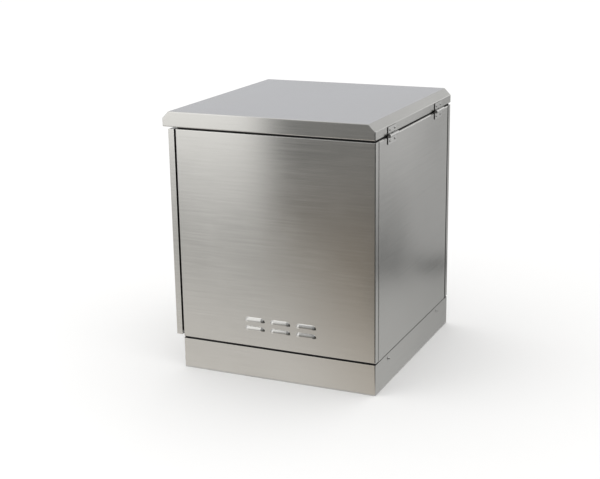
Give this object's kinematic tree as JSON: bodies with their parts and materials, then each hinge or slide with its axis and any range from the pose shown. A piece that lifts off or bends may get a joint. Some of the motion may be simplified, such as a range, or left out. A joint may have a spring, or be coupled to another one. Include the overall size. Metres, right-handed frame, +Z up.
{
  "type": "roadside utility cabinet",
  "caption": "Free-standing stainless sheet cabinet on a plinth, with louvred side panels, a chamfered hinged lid and a locking door, for roadside line equipment.",
  "frame": {"origin": "centre of the plinth's footprint on the ground, which is the centre of the anchor holes", "axes": "+Z up; +X towards the rear wall with the lid hinges; the louvred side in the picture faces -Y"},
  "size_m": [0.6503, 0.6663, 0.761],
  "materials": {
    "stainless_sheet": "fine horizontal brushing",
    "stainless_hardware": "plain bright",
    "galvanised_steel": "galvanised spangle",
    "black_rubber": "matt",
    "copper_bar": "bare drawn bar",
    "insulator": "moulded resin"
  },
  "bodies": {
    "cabinet_body": {"plinth": "stainless_sheet", "plinth_screws": "stainless_hardware", "floor_tray": "stainless_sheet", "gland_plate": "galvanised_steel", "cable_grommets": "black_rubber", "base_seal_near": "black_rubber", "base_seal_far": "black_rubber", "side_panel_near": "stainless_sheet", "side_panel_far": "stainless_sheet", "rear_panel": "stainless_sheet", "corner_post_front_near": "galvanised_steel", "corner_post_front_far": "galvanised_steel", "corner_post_rear_near": "galvanised_steel", "corner_post_rear_far": "galvanised_steel", "panel_rivets": "stainless_hardware", "door_head": "stainless_sheet", "door_sill": "stainless_sheet", "door_seal": "black_rubber", "lid_seal": "black_rubber", "lid_hinge_fixed_leaf_near": "stainless_hardware", "lid_hinge_fixed_leaf_far": "stainless_hardware", "lid_hinge_pin_near": "stainless_hardware", "lid_hinge_pin_far": "stainless_hardware", "lid_hinge_fixed_screws": "stainless_hardware", "door_hinge_fixed_leaf_lower": "stainless_hardware", "door_hinge_fixed_leaf_upper": "stainless_hardware", "door_hinge_pin_lower": "stainless_hardware", "door_hinge_pin_upper": "stainless_hardware", "door_hinge_fixed_screws": "stainless_hardware", "lid_bolt_guide_near": "galvanised_steel", "lid_bolt_guide_far": "galvanised_steel", "mounting_plate": "galvanised_steel", "plate_spacers": "galvanised_steel", "plate_bolts": "stainless_hardware", "din_rail_lower": "galvanised_steel", "din_rail_upper": "galvanised_steel", "small_screws": "stainless_hardware", "earth_bar": "copper_bar", "earth_bar_posts": "insulator", "earth_bar_screws": "stainless_hardware"},
    "lid_body": {"lid": "stainless_sheet", "lid_hinge_moving_leaf_near": "stainless_hardware", "lid_hinge_moving_leaf_far": "stainless_hardware", "lid_hinge_moving_screws": "stainless_hardware", "lid_keepers": "galvanised_steel"},
    "door_body": {"door": "stainless_sheet", "door_hinge_moving_leaf_lower": "stainless_hardware", "door_hinge_moving_leaf_upper": "stainless_hardware", "door_hinge_moving_screws": "stainless_hardware", "lock_housing_lower": "stainless_hardware", "lock_housing_upper": "stainless_hardware", "lock_nuts": "stainless_hardware"},
    "lock_lower_body": {"lock_rotor_lower": "stainless_hardware", "lock_cam_lower": "galvanised_steel", "cam_screw_lower": "stainless_hardware"},
    "lock_upper_body": {"lock_rotor_upper": "stainless_hardware", "lock_cam_upper": "galvanised_steel", "cam_screw_upper": "stainless_hardware"},
    "bolt_near_body": {"lid_bolt_near": "stainless_hardware"},
    "bolt_far_body": {"lid_bolt_far": "stainless_hardware"}
  },
  "joints": [
    {"name": "lid_hinge", "type": "hinge", "parent": "cabinet_body", "child": "lid_body", "pos_m": [0.3053, 0, 0.7145], "axis": [0, 1, 0], "range_deg": [0, 180]},
    {"name": "door_hinge", "type": "hinge", "parent": "cabinet_body", "child": "door_body", "pos_m": [-0.3025, 0.3303, 0.4055], "axis": [0, 0, -1], "range_deg": [0, 180]},
    {"name": "lock_lower_turn", "type": "hinge", "parent": "door_body", "child": "lock_lower_body", "pos_m": [-0.3, -0.275, 0.24], "axis": [1, 0, 0], "range_deg": [0, 90]},
    {"name": "lock_upper_turn", "type": "hinge", "parent": "door_body", "child": "lock_upper_body", "pos_m": [-0.3, -0.275, 0.571], "axis": [1, 0, 0], "range_deg": [0, 90]},
    {"name": "lid_bolt_near_slide", "type": "slide", "parent": "cabinet_body", "child": "bolt_near_body", "axis": [0, -1, 0], "range_m": [0, 0.02]},
    {"name": "lid_bolt_far_slide", "type": "slide", "parent": "cabinet_body", "child": "bolt_far_body", "axis": [0, 1, 0], "range_m": [0, 0.02]}
  ]
}
